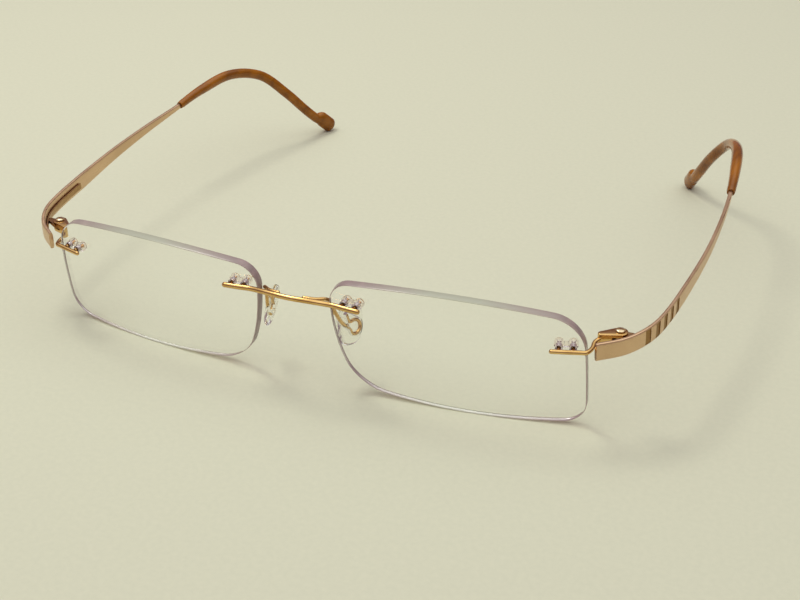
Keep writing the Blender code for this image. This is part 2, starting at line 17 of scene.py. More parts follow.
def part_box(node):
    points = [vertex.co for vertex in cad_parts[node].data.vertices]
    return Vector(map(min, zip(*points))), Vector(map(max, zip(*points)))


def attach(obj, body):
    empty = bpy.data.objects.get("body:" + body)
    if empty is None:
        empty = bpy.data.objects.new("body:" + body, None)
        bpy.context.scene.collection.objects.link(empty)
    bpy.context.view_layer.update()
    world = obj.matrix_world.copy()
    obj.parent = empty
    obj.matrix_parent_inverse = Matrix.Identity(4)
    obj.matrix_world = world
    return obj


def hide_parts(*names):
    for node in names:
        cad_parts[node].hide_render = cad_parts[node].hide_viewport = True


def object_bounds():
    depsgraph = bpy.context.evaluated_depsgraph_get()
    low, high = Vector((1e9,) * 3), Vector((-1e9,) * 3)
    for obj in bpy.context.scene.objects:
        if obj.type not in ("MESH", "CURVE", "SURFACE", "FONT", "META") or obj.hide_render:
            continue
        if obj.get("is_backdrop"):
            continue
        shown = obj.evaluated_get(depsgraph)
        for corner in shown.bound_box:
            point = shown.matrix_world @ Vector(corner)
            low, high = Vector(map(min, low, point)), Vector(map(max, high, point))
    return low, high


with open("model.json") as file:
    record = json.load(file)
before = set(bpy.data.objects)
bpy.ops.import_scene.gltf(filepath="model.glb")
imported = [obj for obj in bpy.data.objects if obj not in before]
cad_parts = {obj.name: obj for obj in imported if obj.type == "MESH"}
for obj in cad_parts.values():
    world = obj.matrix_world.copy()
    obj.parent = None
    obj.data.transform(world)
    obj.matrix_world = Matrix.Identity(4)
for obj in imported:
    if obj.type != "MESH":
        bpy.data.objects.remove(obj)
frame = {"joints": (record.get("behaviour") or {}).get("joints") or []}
cad_low, cad_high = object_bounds()
scene = bpy.context.scene
print("size in mm:", [round(1000 * s, 1) for s in cad_high - cad_low])

# %% [markdown]
# ## One drawing for both sides
# The glasses are drawn in millimetres, with the lens centres on the line y = 0. The record says
# where the left hinge turns, and the difference between that place and the hinge in the drawing
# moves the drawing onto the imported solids. Nothing is fitted by eye. The left side is drawn and
# the right side is its mirror image.

# %% Where the drawing goes
MM = 0.001
HINGE_AXIS = (63.4, 10.9)
HINGE_HEIGHT = 19.2
hinge_place = next(j["pos_m"] for j in frame["joints"] if j["name"] == "temple_left_fold")
DRAWING_SHIFT = Vector(hinge_place) - MM * Vector((*HINGE_AXIS, HINGE_HEIGHT))
SIDES = (("left", 1), ("right", -1))
print("drawing moved by, in mm:", [round(1000 * s, 3) for s in DRAWING_SHIFT])

# %% [markdown]
# ## Making and freezing a piece
# A piece starts as a bmesh in millimetres. `make_piece` mirrors it for the right side and scales it
# to metres; `finish_piece` later sets smooth shading with sharp creases only where two faces meet at a real
# corner.
# `freeze` then turns the modifiers into plain mesh, so that the piece which rides on a body is
# exactly the one that is seen.

# %% Helpers for pieces
CREASE = math.radians(38.0)


def make_piece(name, bm, sign, *finishes):
    if sign < 0:
        bmesh.ops.scale(bm, vec=(-1.0, 1.0, 1.0), verts=bm.verts)
    bmesh.ops.recalc_face_normals(bm, faces=bm.faces)
    bmesh.ops.scale(bm, vec=(MM, MM, MM), verts=bm.verts)
    bmesh.ops.translate(bm, vec=DRAWING_SHIFT, verts=bm.verts)
    mesh = bpy.data.meshes.new(name)
    bm.to_mesh(mesh)
    bm.free()
    for finish in finishes:
        mesh.materials.append(finish)
    piece = bpy.data.objects.new(name, mesh)
    scene.collection.objects.link(piece)
    return piece


def combine(piece, operation, bm, sign, *finishes):
    """Joins, cuts or trims a piece with a second shape, for good."""
    other = make_piece(f"{piece.name}_tool", bm, sign, *finishes)
    modifier = piece.modifiers.new(operation.title(), "BOOLEAN")
    modifier.operation = operation
    modifier.solver = "EXACT"
    modifier.material_mode = "TRANSFER"
    modifier.object = other
    freeze(piece)
    bpy.data.objects.remove(other)


def round_edges(piece, width, segments=3, angle=30.0):
    bevel = piece.modifiers.new("Rounded edges", "BEVEL")
    bevel.width = width * MM
    bevel.segments = segments
    bevel.limit_method = "ANGLE"
    bevel.angle_limit = math.radians(angle)
    bevel.use_clamp_overlap = True
    freeze(piece)


def freeze(piece):
    seen = piece.evaluated_get(bpy.context.evaluated_depsgraph_get())
    mesh = bpy.data.meshes.new_from_object(seen)
    piece.modifiers.clear()
    piece.data = mesh


def finish_piece(piece, body, node):
    """Shades a piece and lets it stand for its CAD node."""
    piece.data.shade_smooth()
    piece.data.set_sharp_from_angle(angle=CREASE)
    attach(piece, body)
    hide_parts(node)
    low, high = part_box(node)
    ours = [piece.matrix_world @ v.co for v in piece.data.vertices]
    far = max(max((low - p)[i], (p - high)[i]) for p in ours for i in range(3))
    print(f"{piece.name}: {len(piece.data.polygons)} faces, {1000 * far:.2f} mm past its CAD box")


# %% [markdown]
# ## Wires: a round section swept along a curve
# Bridge, clips, pad arms, temples and tips are all one idea, a section carried along a line.
# A curve object with a bevel would do for a round wire. The temples need a section that changes
# from a flat strip to a thin wire, so one sweep is written for all of them. The line runs
# smoothly through a few given points, as a Catmull-Rom curve does, and is then cut into
# even steps so that the rings are evenly spaced.

# %% Helpers for lines and sweeps
CURVE_STEPS = 40
DOME_TURNS = (20.0, 38.0, 54.0, 68.0, 80.0)


def smooth_path(points, spacing):
    knots = [Vector(p) for p in points]
    knots = [2 * knots[0] - knots[1]] + knots + [2 * knots[-1] - knots[-2]]
    fine = []
    for a, b, c, d in zip(knots, knots[1:], knots[2:], knots[3:]):
        for step in range(CURVE_STEPS):
            t = step / CURVE_STEPS
            place = 2 * b + (c - a) * t + (2 * a - 5 * b + 4 * c - d) * t**2
            fine.append((place + (3 * b - a - 3 * c + d) * t**3) / 2)
    fine.append(knots[-2])
    lengths = running_lengths(fine)
    count = max(2, round(lengths[-1] / spacing))
    return [point_at(fine, lengths, lengths[-1] * k / count) for k in range(count + 1)]


def running_lengths(path):
    lengths = [0.0]
    for a, b in zip(path, path[1:]):
        lengths.append(lengths[-1] + (b - a).length)
    return lengths


def point_at(path, lengths, distance):
    for k in range(1, len(path)):
        if lengths[k] >= distance or k == len(path) - 1:
            share = (distance - lengths[k - 1]) / (lengths[k] - lengths[k - 1])
            return path[k - 1].lerp(path[k], share)


def stretch(path, start, end):
    lengths = running_lengths(path)
    inner = [p for p, s in zip(path, lengths) if start + 0.1 < s < end - 0.1]
    return [point_at(path, lengths, start)] + inner + [point_at(path, lengths, end)]


def frames_along(path, upright):
    """Point, side and up at each step. Upright frames keep their side level."""
    frames, side = [], None
    for k, point in enumerate(path):
        ahead = (path[min(k + 1, len(path) - 1)] - path[max(k - 1, 0)]).normalized()
        if upright or side is None:
            level = ahead.cross(Vector((0.0, 0.0, 1.0)))
            side = level.normalized() if level.length > 0.01 else Vector((1.0, 0.0, 0.0))
        else:
            side = (side - ahead * side.dot(ahead)).normalized()
        frames.append((point, side, side.cross(ahead)))
    return frames


def domed_end(ring, direction):
    point, side, up, width, height = ring
    ahead = direction.normalized() * min(width, height)
    turns = [math.radians(t) for t in DOME_TURNS]
    return [(point + ahead * math.sin(a), side, up, width * math.cos(a), height * math.cos(a)) for a in turns]


def sweep(path, half_sizes, sides=28, squareness=2.0, upright=False, domed=False):
    """A solid around a path. A squareness of 2 gives an oval section, and more a squarer one."""
    rings = [(*place, *size) for place, size in zip(frames_along(path, upright), half_sizes)]
    if domed:
        front = domed_end(rings[0], path[0] - path[1])[::-1]
        rings = front + rings + domed_end(rings[-1], path[-1] - path[-2])
    bm = bmesh.new()
    loops = []
    for point, side, up, width, height in rings:
        loop = []
        for k in range(sides):
            angle = 2 * math.pi * (k + 0.5) / sides
            across = math.copysign(abs(math.cos(angle)) ** (2 / squareness), math.cos(angle))
            along = math.copysign(abs(math.sin(angle)) ** (2 / squareness), math.sin(angle))
            loop.append(bm.verts.new(point + side * (across * width) + up * (along * height)))
        loops.append(loop)
    skin(bm, loops)
    return bm


def skin(bm, loops):
    """Faces between neighbouring loops, and a cap on both ends."""
    count = len(loops[0])
    for first, second in zip(loops, loops[1:]):
        for k in range(count):
            n = (k + 1) % count
            bm.faces.new((first[k], first[n], second[n], second[k]))
    bm.faces.new(loops[0])
    bm.faces.new(loops[-1])


def turned(profile, sides=32):
    """A turned piece about Z: the profile is a list of (radius, height)."""
    bm = bmesh.new()
    loops = []
    for radius, z in profile:
        turns = [2 * math.pi * k / sides for k in range(sides)]
        loops.append([bm.verts.new((radius * math.cos(a), radius * math.sin(a), z)) for a in turns])
    skin(bm, loops)
    return bm


print("sweep and turning helpers are ready")

# %% [markdown]
# ## Finishes
# Every finish is made from nodes, so it has no picture files and stays sharp at any distance.
# Noise textures read the piece's own coordinates in metres, so a noise scale of 1000 makes
# marks about a millimetre wide. Small changes in roughness matter more than changes in colour:
# they are what makes a reflection break up as it does on a handled object.

# %% Helpers for finishes
def new_finish(name, **settings):
    """A Principled finish with fixed values set on the shader's own sockets."""
    finish = bpy.data.materials.new(name)
    finish.use_nodes = True
    shader = finish.node_tree.nodes["Principled BSDF"]
    for socket, value in settings.items():
        shader.inputs[socket.replace("_", " ")].default_value = value
    return finish, finish.node_tree, shader


def noise(tree, scale, stretch_by=(1.0, 1.0, 1.0), detail=3.0):
    """Noise in the piece's own coordinates, squeezed by stretch_by along X, Y and Z."""
    coordinates = tree.nodes.new("ShaderNodeTexCoord")
    mapping = tree.nodes.new("ShaderNodeMapping")
    mapping.inputs["Scale"].default_value = stretch_by
    texture = tree.nodes.new("ShaderNodeTexNoise")
    texture.inputs["Scale"].default_value = scale
    texture.inputs["Detail"].default_value = detail
    tree.links.new(coordinates.outputs["Object"], mapping.inputs["Vector"])
    tree.links.new(mapping.outputs["Vector"], texture.inputs["Vector"])
    return texture.outputs["Fac"]


def ramp(tree, source, *stops):
    """A colour ramp whose stops are (place, colour)."""
    node = tree.nodes.new("ShaderNodeValToRGB")
    elements = node.color_ramp.elements
    while len(elements) < len(stops):
        elements.new(0.5)
    for element, (place, colour) in zip(elements, stops):
        element.position = place
        element.color = (*colour, 1.0)
    tree.links.new(source, node.inputs["Fac"])
    return node.outputs["Color"]


def spread(tree, source, low, high):
    """Turns noise into a number between low and high."""
    node = tree.nodes.new("ShaderNodeMapRange")
    node.inputs["From Min"].default_value = 0.3
    node.inputs["From Max"].default_value = 0.7
    node.inputs["To Min"].default_value = low
    node.inputs["To Max"].default_value = high
    tree.links.new(source, node.inputs["Value"])
    return node.outputs["Result"]


def arithmetic(tree, operation, first, second=0.0):
    """One sum on two values, each a fixed number or another node's output."""
    node = tree.nodes.new("ShaderNodeMath")
    node.operation = operation
    for socket, value in zip(node.inputs, (first, second)):
        if isinstance(value, float):
            socket.default_value = value
        else:
            tree.links.new(value, socket)
    return node.outputs["Value"]


def bump(tree, shader, source, depth_mm, strength=0.3):
    node = tree.nodes.new("ShaderNodeBump")
    node.inputs["Distance"].default_value = depth_mm * MM
    node.inputs["Strength"].default_value = strength
    tree.links.new(source, node.inputs["Height"])
    tree.links.new(node.outputs["Normal"], shader.inputs["Normal"])


# %% [markdown]
# ## Gold
# The bridge, clips, pins and pad arms are gold plated and polished: a metal with a low roughness
# that mirrors whatever is around it. The plating is a little redder where it has been handled,
# and fine rubbing marks run along it. The temples have the same plating over a satin surface,
# made with long scratches, so the noise is squeezed hard along the temple's length. The hinge
# tongues get a darker brown gold, which is painted shade and a painted dark reflection: they sit
# in shadow behind the strip and mirror its dark back.

# %% Gold finishes
def polished_gold():
    finish, tree, shader = new_finish("polished gold plate", Metallic=1.0, IOR=1.5)
    tone = noise(tree, 260.0)
    tree.links.new(
        ramp(tree, tone, (0.3, (0.60, 0.36, 0.12)), (0.7, (0.73, 0.48, 0.19))),
        shader.inputs["Base Color"],
    )
    rub = noise(tree, 1500.0, detail=5.0)
    tree.links.new(spread(tree, rub, 0.07, 0.18), shader.inputs["Roughness"])
    bump(tree, shader, rub, 0.01, 0.1)
    return finish


def satin_gold():
    finish, tree, shader = new_finish("satin gold plate", Metallic=1.0, IOR=1.5)
    tone = noise(tree, 90.0)
    tree.links.new(
        ramp(tree, tone, (0.3, (0.62, 0.42, 0.25)), (0.7, (0.72, 0.50, 0.31))),
        shader.inputs["Base Color"],
    )
    scratches = noise(tree, 2200.0, (1.0, 0.03, 1.0), detail=4.0)
    tree.links.new(spread(tree, scratches, 0.26, 0.42), shader.inputs["Roughness"])
    bump(tree, shader, scratches, 0.015, 0.35)
    return finish


def engraved_bar():
    finish, tree, shader = new_finish("bronze lacquer in the engraved bars", Metallic=0.8)
    grain = noise(tree, 1800.0)
    tree.links.new(
        ramp(tree, grain, (0.3, (0.30, 0.16, 0.05)), (0.7, (0.38, 0.22, 0.07))),
        shader.inputs["Base Color"],
    )
    tree.links.new(spread(tree, grain, 0.35, 0.55), shader.inputs["Roughness"])
    return finish


def screw_metal():
    finish, tree, shader = new_finish("turned screw metal", Metallic=1.0)
    rings = noise(tree, 2600.0, (1.0, 1.0, 0.1))
    tree.links.new(
        ramp(tree, rings, (0.3, (0.68, 0.54, 0.32)), (0.7, (0.82, 0.68, 0.44))),
        shader.inputs["Base Color"],
    )
    tree.links.new(spread(tree, rings, 0.14, 0.3), shader.inputs["Roughness"])
    return finish


def hinge_gold_painted_shade():
    # The darker brown base colour is painted shade and a painted dark reflection: the tongues sit in shadow
    # behind the strip and mirror its dark back.
    finish, tree, shader = new_finish("hinge tongue gold darkened as painted shade", Metallic=1.0)
    wear = noise(tree, 600.0, detail=5.0)
    tree.links.new(
        ramp(tree, wear, (0.3, (0.34, 0.19, 0.07)), (0.7, (0.46, 0.28, 0.13))),
        shader.inputs["Base Color"],
    )
    tree.links.new(spread(tree, wear, 0.16, 0.34), shader.inputs["Roughness"])
    bump(tree, shader, wear, 0.01, 0.2)
    return finish


gold = polished_gold()
satin = satin_gold()
lacquer = engraved_bar()
screw_finish = screw_metal()
# bronze is the gold darkened as painted shade for the hinge tongues.
bronze = hinge_gold_painted_shade()
print("gold finishes:", gold.name, "|", satin.name, "|", lacquer.name)

# %% [markdown]
# ## Clear lenses and plastics
# A lens is real glass to the path tracer: light bends in, runs through and bends out. The anti-
# reflection coat is stood in for by a slightly lower index, which mirrors less. The one problem is
# shadow: a lamp can't be found through bending glass, so the table behind a lens would go black.
# Shadow rays are therefore let straight through with a slight tint. The rim is ground and satin,
# so it is a mix of rough glass and a plain surface. Its colour is painted reflection and shade:
# mauve towards the corners, where the rim turns away and mirrors the dim mauve room, and pale
# green grey in the middle of a long edge, where the table shows through. The colour follows the
# distance from the lens's middle, found with a little arithmetic on the piece's own X.

# %% Clear finishes
LENS_MIDDLE = 34.0
LENS_HALF_WIDTH = 25.5


def let_shadow_rays_pass(tree, surface, tint):
    """Lamps shine straight through a clear piece, only tinted."""
    output = tree.nodes["Material Output"]
    light_path = tree.nodes.new("ShaderNodeLightPath")
    through = tree.nodes.new("ShaderNodeBsdfTransparent")
    through.inputs["Color"].default_value = (*tint, 1.0)
    mix = tree.nodes.new("ShaderNodeMixShader")
    tree.links.new(light_path.outputs["Is Shadow Ray"], mix.inputs["Fac"])
    tree.links.new(surface, mix.inputs[1])
    tree.links.new(through.outputs["BSDF"], mix.inputs[2])
    tree.links.new(mix.outputs["Shader"], output.inputs["Surface"])


def lens_face():
    finish, tree, shader = new_finish("coated clear lens", IOR=1.4, Transmission_Weight=1.0)
    haze = noise(tree, 45.0, detail=5.0)
    tree.links.new(
        ramp(tree, haze, (0.3, (0.99, 0.995, 0.99)), (0.7, (1.0, 1.0, 1.0))),
        shader.inputs["Base Color"],
    )
    tree.links.new(spread(tree, haze, 0.0, 0.015), shader.inputs["Roughness"])
    let_shadow_rays_pass(tree, shader.outputs["BSDF"], (0.995, 0.997, 0.995))
    return finish


def lens_rim_painted_reflection():
    """Painted reflection and shade: mauve near the corners and paler towards the middle of each long edge."""
    finish, tree, shader = new_finish("ground lens rim with painted reflection and shade", IOR=1.5, Transmission_Weight=0.3)
    coordinates = tree.nodes.new("ShaderNodeTexCoord")
    place = tree.nodes.new("ShaderNodeSeparateXYZ")
    tree.links.new(coordinates.outputs["Object"], place.inputs["Vector"])
    from_nose = arithmetic(tree, "ABSOLUTE", place.outputs["X"])
    from_middle = arithmetic(tree, "ABSOLUTE", arithmetic(tree, "SUBTRACT", from_nose, LENS_MIDDLE * MM))
    share = arithmetic(tree, "MULTIPLY", from_middle, 1000 / LENS_HALF_WIDTH)
    patches = arithmetic(tree, "MULTIPLY", noise(tree, 70.0), 0.25)
    # Painted reflection and shade: the mauve corner colour paints the dim room mirrored where the rim turns
    # away, and the pale middle paints the table showing through.
    middle, between, corner = (0.60, 0.62, 0.48), (0.53, 0.46, 0.40), (0.42, 0.32, 0.31)
    blend = arithmetic(tree, "ADD", share, patches)
    tree.links.new(
        ramp(tree, blend, (0.3, middle), (0.7, between), (1.0, corner)),
        shader.inputs["Base Color"],
    )
    grain = noise(tree, 1400.0, detail=5.0)
    tree.links.new(spread(tree, grain, 0.16, 0.26), shader.inputs["Roughness"])
    let_shadow_rays_pass(tree, shader.outputs["BSDF"], (0.3, 0.24, 0.28))
    return finish


def clear_plastic(name, tint, rough_low, rough_high, **settings):
    finish, tree, shader = new_finish(name, **settings)
    cloud = noise(tree, 700.0)
    pale = tuple(min(1.0, c + 0.04) for c in tint)
    tree.links.new(ramp(tree, cloud, (0.3, tint), (0.7, pale)), shader.inputs["Base Color"])
    tree.links.new(spread(tree, cloud, rough_low, rough_high), shader.inputs["Roughness"])
    let_shadow_rays_pass(tree, shader.outputs["BSDF"], (0.8, 0.78, 0.78))
    return finish


clear = lens_face()
# rim's colour is painted reflection and shade, mauve at the corners and pale in the middle.
rim = lens_rim_painted_reflection()
silicone = clear_plastic(
    "clear silicone", (0.93, 0.93, 0.90), 0.05, 0.12, IOR=1.36, Transmission_Weight=1.0
)
bushing_plastic = clear_plastic(
    "clear moulded bushing", (0.92, 0.86, 0.83), 0.12, 0.22, IOR=1.18, Transmission_Weight=0.97
)
print("clear finishes:", clear.name, "|", rim.name, "|", silicone.name)

# %% [markdown]
# ## Amber tips
# The tips are amber brown acetate pushed over the end of the temple wire. A little light enters
# them, so a small part of the shader transmits, and the rest is a deep orange brown. Slow streaks
# along the tip stand for the mixing lines that acetate sheet has. The surface mirrors only
# weakly, or the pale room would wash the orange out. A thin clear coat gives the polish.

# %% Amber finish
def amber_acetate():
    finish, tree, shader = new_finish(
        "amber acetate", IOR=1.48, Transmission_Weight=0.1, Specular_IOR_Level=0.25, Coat_Weight=0.2
    )
    streaks = noise(tree, 420.0, (1.0, 0.25, 0.6), detail=4.0)
    tree.links.new(
        ramp(tree, streaks, (0.3, (0.20, 0.062, 0.002)), (0.7, (0.44, 0.155, 0.003))),
        shader.inputs["Base Color"],
    )
    tree.links.new(spread(tree, streaks, 0.08, 0.18), shader.inputs["Roughness"])
    bump(tree, shader, streaks, 0.02, 0.12)
    return finish


amber = amber_acetate()
print("tip finish:", amber.name)

# %% [markdown]
# ## The lenses
# An optician cuts a lens from a round blank that is already curved, then grinds the rim to the
# frame's outline and takes the sharp edge off both faces. The piece is made in that order: a
# flat outline of four rounded corners joined by slightly bowed edges, rings of points inside it,
# all pressed onto a shallow bowl, then a thickness, a small bevel, and four drilled holes.

# %% The lens outline
LENS_THICKNESS = 1.8
LENS_CURVE_RADIUS = 130.0
LENS_WRAP = math.radians(5.5)
LENS_LEAN = math.radians(6.8)
LENS_CORNERS = (
    (24.7, 11.2, 6.0, 9.0),
    (-26.1, 12.3, 4.5, 9.5),
    (-21.2, -11.3, 6.0, 4.5),
    (25.4, -12.5, 4.5, 2.0),
)
CORNER_STEPS = 12
EDGE_STEP = 1.6


def bezier_points(knots, steps):
    curve = interpolate_bezier(*[k.to_3d() for k in knots], steps + 1)
    return [Vector((p.x, p.y)) for p in curve[:-1]]


def lens_outline():
    """Outward and up from the lens centre. A corner is a place, a rounding and a bow in degrees."""
    corners = []
    for k, (x, y, rounding, bow) in enumerate(LENS_CORNERS):
        here = Vector((x, y))
        before = Vector(LENS_CORNERS[k - 1][:2])
        after = Vector(LENS_CORNERS[(k + 1) % 4][:2])
        arriving = (here - before).normalized()
        arriving.rotate(Matrix.Rotation(math.radians(LENS_CORNERS[k - 1][3]), 2))
        leaving = (after - here).normalized()
        leaving.rotate(Matrix.Rotation(-math.radians(bow), 2))
        start, end = here - rounding * arriving, here + rounding * leaving
        corners.append((start, arriving, end, leaving, rounding))
    points = []
    for k, (start, arriving, end, leaving, rounding) in enumerate(corners):
        reach = 0.55 * rounding
        arc = (start, start + reach * arriving, end - reach * leaving, end)
        points += bezier_points(arc, CORNER_STEPS)
        following = corners[(k + 1) % 4]
        third = (following[0] - end).length / 3
        edge = (end, end + third * leaving, following[0] - third * following[1], following[0])
        points += bezier_points(edge, max(3, round(3 * third / EDGE_STEP)))
    return points


def curved(outward, up, depth):
    return Vector((outward, depth + (outward**2 + up**2) / (2 * LENS_CURVE_RADIUS), up))


def lens_matrix():
    """Wraps and leans a lens, and lifts it until its lowest edge is on the table."""
    turn = Matrix.Rotation(LENS_LEAN, 4, "X")
    turn = turn @ Matrix.Translation((LENS_MIDDLE, 0.0, 0.0)) @ Matrix.Rotation(LENS_WRAP, 4, "Z")
    depths = (0.0, LENS_THICKNESS)
    lowest = min((turn @ curved(p.x, p.y, d)).z for p in lens_outline() for d in depths)
    return Matrix.Translation((0.0, 0.0, -lowest)) @ turn


LENS_PLACE = lens_matrix()
print("points round a lens:", len(lens_outline()))

# %% [markdown]
# Holes, pins and bushings all stand square to the lens at the same four places. `site_matrix`
# gives axes there, so each of them can be drawn standing up at zero and dropped into place.

# %% Places on a lens
NASAL_SITE = (-21.6, 8.15)
TEMPORAL_SITE = (21.4, 5.5)
PIN_SPACING = 2.7
LENS_HOLE_RADIUS = 0.72


def on_lens(outward, up, depth):
    return LENS_PLACE @ curved(outward, up, depth)


def site_matrix(site, offset=0.0):
    """Z runs straight back through the lens, X along the pair of pins."""
    here = on_lens(*site, 0.0)
    along = (on_lens(site[0] + 0.5, site[1], 0.0) - here).normalized()
    up = (on_lens(site[0], site[1] + 0.5, 0.0) - here).normalized()
    back = up.cross(along).normalized()
    axes = Matrix((along, back.cross(along), back)).transposed().to_4x4()
    return Matrix.Translation(here) @ axes @ Matrix.Translation((offset, 0.0, 0.0))


def standing(profile, site, offset, sides=32):
    """A turned piece dropped onto a place on the lens."""
    bm = turned(profile, sides)
    bmesh.ops.transform(bm, matrix=site_matrix(site, offset), verts=bm.verts)
    return bm


# %% Build the lenses
LENS_RINGS = [1.0, 0.985, 0.95, 0.88, 0.76, 0.6, 0.42, 0.22]
RIM_BEVEL = 0.16


def make_lens(side, sign):
    outline = lens_outline()
    bm = bmesh.new()
    borders = []
    for depth in (0.0, LENS_THICKNESS):
        loops = []
        for share in LENS_RINGS:
            ring = [LENS_PLACE @ curved(p.x * share, p.y * share, depth) for p in outline]
            loops.append([bm.verts.new(place) for place in ring])
        middle = bm.verts.new(LENS_PLACE @ curved(0.0, 0.0, depth))
        for first, second in zip(loops, loops[1:] + [[middle] * len(outline)]):
            for k in range(len(outline)):
                n = (k + 1) % len(outline)
                around = (first[k], first[n], second[n], second[k])
                bm.faces.new(around[:3] if second[0] is middle else around)
        borders.append(loops[0])
    for k in range(len(outline)):
        n = (k + 1) % len(outline)
        wall = bm.faces.new((borders[0][k], borders[0][n], borders[1][n], borders[1][k]))
        wall.material_index = 1
    lens = make_piece(f"clear_lens_{side}", bm, sign, clear, rim)
    bevel = lens.modifiers.new("Safety bevel", "BEVEL")
    bevel.width = RIM_BEVEL * MM
    bevel.segments = 2
    bevel.limit_method = "ANGLE"
    bevel.angle_limit = math.radians(50.0)
    bevel.material = 1
    freeze(lens)
    drill = [(LENS_HOLE_RADIUS, -1.0), (LENS_HOLE_RADIUS, LENS_THICKNESS + 1.0)]
    for site in (NASAL_SITE, TEMPORAL_SITE):
        for offset in (-PIN_SPACING / 2, PIN_SPACING / 2):
            combine(lens, "DIFFERENCE", standing(drill, site, offset), sign, rim)
    finish_piece(lens, "front", f"lens_{side}")


for side, sign in SIDES:
    make_lens(side, sign)

# %% [markdown]
# ## Bridge and clips
# The bridge is one wire bent over the nose and laid flat along the front of both lenses. Each
# clip is a thinner wire that starts the same way at the outer edge, then goes round the rim and
# back to the hinge. Their ends are rounded, because a cut wire would scratch. The clip ends in a
# drop-shaped leaf, sawn through the middle to make the fork of the hinge.

# %% Bridge
BAR_RADIUS = 0.55
BAR_STANDOFF = 1.0
BRIDGE_OUTWARD = (-25.2, -22.3, -19.4)
BRIDGE_UP = 8.15
BRIDGE_MIDDLE = (0.0, -2.85, 21.25)
BRIDGE_SHOULDER = (4.7, -2.4, 21.15)


def make_bridge():
    half = [Vector(BRIDGE_MIDDLE), Vector(BRIDGE_SHOULDER)]
    half += [on_lens(outward, BRIDGE_UP, -BAR_STANDOFF) for outward in BRIDGE_OUTWARD]
    other = [Vector((-p.x, p.y, p.z)) for p in half[:0:-1]]
    path = smooth_path(other + half, 0.35)
    bm = sweep(path, [(BAR_RADIUS, BAR_RADIUS)] * len(path), domed=True)
    bridge = make_piece("bridge_wire", bm, 1, gold)
    finish_piece(bridge, "front", "bridge")


make_bridge()

# %% Clips and hinge forks
CLIP_OUTWARD = (18.9, 21.5, 24.2)
CLIP_UP = 5.5
CLIP_WIRE_RADIUS = 0.46
CLIP_ROUTE = ((59.05, 3.5, 18.7), (59.6, 5.3, 18.75), (59.55, 7.3, 19.0))
FORK_ROOT = (60.3, 9.0)
FORK_ROOT_RADIUS = 0.75
FORK_HALF_HEIGHT = 1.1
KNUCKLE_RADIUS = 1.5
SLOT_HALF_HEIGHT = 0.45
SLOT_RADIUS = 2.2
SCREW_BORE_RADIUS = 0.58
LEAF_EDGE = 0.14


def teardrop(big, big_radius, small, small_radius, steps=20):
    """The outline around two circles."""
    heading = math.atan2(small[1] - big[1], small[0] - big[0])
    distance = math.hypot(small[0] - big[0], small[1] - big[1])
    opening = math.acos((big_radius - small_radius) / distance)
    points = []
    for centre, radius, start, turn in (
        (big, big_radius, heading + opening, 2 * math.pi - 2 * opening),
        (small, small_radius, heading - opening, 2 * opening),
    ):
        for k in range(steps + 1):
            angle = start + turn * k / steps
            points.append((centre[0] + radius * math.cos(angle), centre[1] + radius * math.sin(angle)))
    return points


def plate(outline, low, high):
    bm = bmesh.new()
    skin(bm, [[bm.verts.new((x, y, z)) for x, y in outline] for z in (low, high)])
    return bm


def disc(radius, low, high, sides=40):
    """A round plate about the hinge axis."""
    turns = [2 * math.pi * k / sides for k in range(sides)]
    x, y = HINGE_AXIS
    outline = [(x + radius * math.cos(a), y + radius * math.sin(a)) for a in turns]
    return plate(outline, HINGE_HEIGHT + low, HINGE_HEIGHT + high)


def make_endpiece(side, sign):
    points = [on_lens(outward, CLIP_UP, -BAR_STANDOFF) for outward in CLIP_OUTWARD]
    points += [Vector(p) for p in CLIP_ROUTE] + [Vector((*FORK_ROOT, HINGE_HEIGHT))]
    path = smooth_path(points, 0.3)
    wire = sweep(path, [(CLIP_WIRE_RADIUS, CLIP_WIRE_RADIUS)] * len(path), sides=24, domed=True)
    endpiece = make_piece(f"clip_and_fork_{side}", wire, sign, gold)
    outline = teardrop(HINGE_AXIS, KNUCKLE_RADIUS, FORK_ROOT, FORK_ROOT_RADIUS)
    low, high = HINGE_HEIGHT - FORK_HALF_HEIGHT, HINGE_HEIGHT + FORK_HALF_HEIGHT
    leaf = make_piece(f"leaf_{side}", plate(outline, low, high), sign, gold)
    round_edges(leaf, LEAF_EDGE)
    join = endpiece.modifiers.new("Brazed leaf", "BOOLEAN")
    join.operation = "UNION"
    join.solver = "EXACT"
    join.object = leaf
    freeze(endpiece)
    bpy.data.objects.remove(leaf)
    combine(endpiece, "DIFFERENCE", disc(SLOT_RADIUS, -SLOT_HALF_HEIGHT, SLOT_HALF_HEIGHT), sign, gold)
    combine(endpiece, "DIFFERENCE", disc(SCREW_BORE_RADIUS, -2.0, 2.0), sign, gold)
    finish_piece(endpiece, "front", f"endpiece_{side}")


for side, sign in SIDES:
    make_endpiece(side, sign)

# %% [markdown]
# ## Pins and bushings
# Each bar carries two pins that go through the lens. Behind the lens a clear twin bushing grips
# them: two small cups joined by a web, with a sleeve on each that fills the hole. No screw or
# nut shows, which is why these mounts look like pairs of clear beads.

# %% Pins and bushings
PIN_RADIUS = 0.38
PIN_BORE_RADIUS = 0.46
BUSHING_LEG_RADIUS = 0.64
BUSHING_CUP_RADIUS = 1.0
BUSHING_CUP_LENGTH = 1.2
BUSHING_WEB_SIZE = (PIN_SPACING, 1.1, 0.6)
BUSHING_LEG_START = 0.15
JOINT_GAP = 0.06


def cup_profile(start, end):
    """A cup with a rolled rim at both ends."""
    roll = 0.22
    hub = BUSHING_CUP_RADIUS - roll
    turns = [math.radians(t) for t in (90.0, 60.0, 30.0, 0.0)]
    near = [(hub + roll * math.cos(a), start + roll - roll * math.sin(a)) for a in turns]
    far = [(r, start + end - z) for r, z in reversed(near)]
    return near + far


